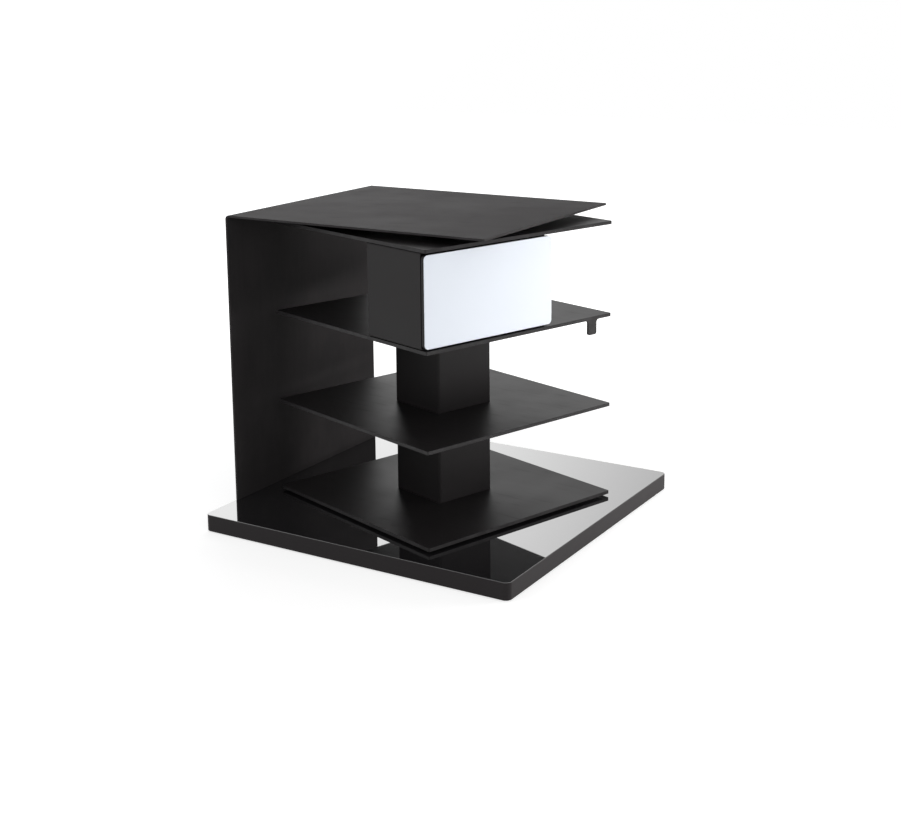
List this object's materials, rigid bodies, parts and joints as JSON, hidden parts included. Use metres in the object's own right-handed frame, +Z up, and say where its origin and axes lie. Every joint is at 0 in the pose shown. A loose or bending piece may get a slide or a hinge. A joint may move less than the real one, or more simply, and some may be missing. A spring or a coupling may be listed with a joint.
{
  "type": "rotating spine bookshelf",
  "caption": "Low square rotating bookshelf: three open levels round a square spine with a drawer, turning on a thick base under a folded sheet frame.",
  "frame": {"origin": "on the floor, under the vertical axis that the shelf unit turns about, which is the centre of the square base", "axes": "+Z up; the frame's upright wall stands at -X and its top plate reaches towards +X; +Y completes the right-handed set; the shelf unit is stored turned 18 degrees clockwise seen from above, as in the picture"},
  "size_m": [0.5, 0.5, 0.451],
  "materials": {
    "gloss_black_lacquer": "board in black lacquer, mirror gloss on top and satin on the edges",
    "black_coated_sheet": "satin black powder coat on folded steel sheet",
    "black_coated_plate": "satin black powder coat",
    "white_gloss_facing": "white high gloss",
    "zinc_steel": "zinc plated",
    "bearing_steel": "pressed and hardened",
    "nylon": "natural",
    "black_rubber": "matte"
  },
  "bodies": {
    "frame": {"base_slab": "gloss_black_lacquer", "glide_pad_1": "black_rubber", "glide_pad_2": "black_rubber", "glide_pad_3": "black_rubber", "glide_pad_4": "black_rubber", "frame_sheet": "black_coated_sheet", "frame_screw_1": "zinc_steel", "frame_screw_2": "zinc_steel", "frame_screw_3": "zinc_steel", "frame_screw_4": "zinc_steel", "frame_screw_5": "zinc_steel", "ball_ring_lower": "bearing_steel", "ring_screw_1": "zinc_steel", "ring_screw_2": "zinc_steel", "ring_screw_3": "zinc_steel", "ring_screw_4": "zinc_steel", "pivot_pin": "bearing_steel"},
    "unit": {"ball_ring_upper": "bearing_steel", "bottom_plate": "black_coated_plate", "shelf_lower": "black_coated_plate", "shelf_upper": "black_coated_plate", "unit_top_plate": "black_coated_plate", "spine_sleeve_lower": "black_coated_plate", "spine_sleeve_middle": "black_coated_plate", "spine_sleeve_upper": "black_coated_plate", "post": "zinc_steel", "post_screw_1": "zinc_steel", "post_screw_2": "zinc_steel", "post_screw_3": "zinc_steel", "post_screw_4": "zinc_steel", "post_nut": "zinc_steel", "top_bush": "nylon", "drawer_housing": "black_coated_plate", "runner_outer_left": "zinc_steel", "runner_outer_right": "zinc_steel"},
    "cage": {"ball_cage": "nylon"},
    "drawer": {"drawer_tray": "black_coated_plate", "drawer_front": "black_coated_plate", "drawer_facing": "white_gloss_facing", "runner_inner_left": "zinc_steel", "runner_inner_right": "zinc_steel"}
  },
  "joints": [
    {"name": "unit_spin", "type": "hinge", "parent": "frame", "child": "unit", "pos_m": [0, 0, 0.026], "axis": [0, 0, 1], "continuous": true},
    {"name": "cage_spin", "type": "hinge", "parent": "frame", "child": "cage", "pos_m": [0, 0, 0.026], "axis": [0, 0, 1], "continuous": true},
    {"name": "drawer_slide", "type": "slide", "parent": "unit", "child": "drawer", "axis": [0.9511, -0.309, 0], "range_m": [0, 0.0648]}
  ],
  "couplings": [
    {"joint": "cage_spin", "follows": "unit_spin", "ratio": 0.5}
  ]
}
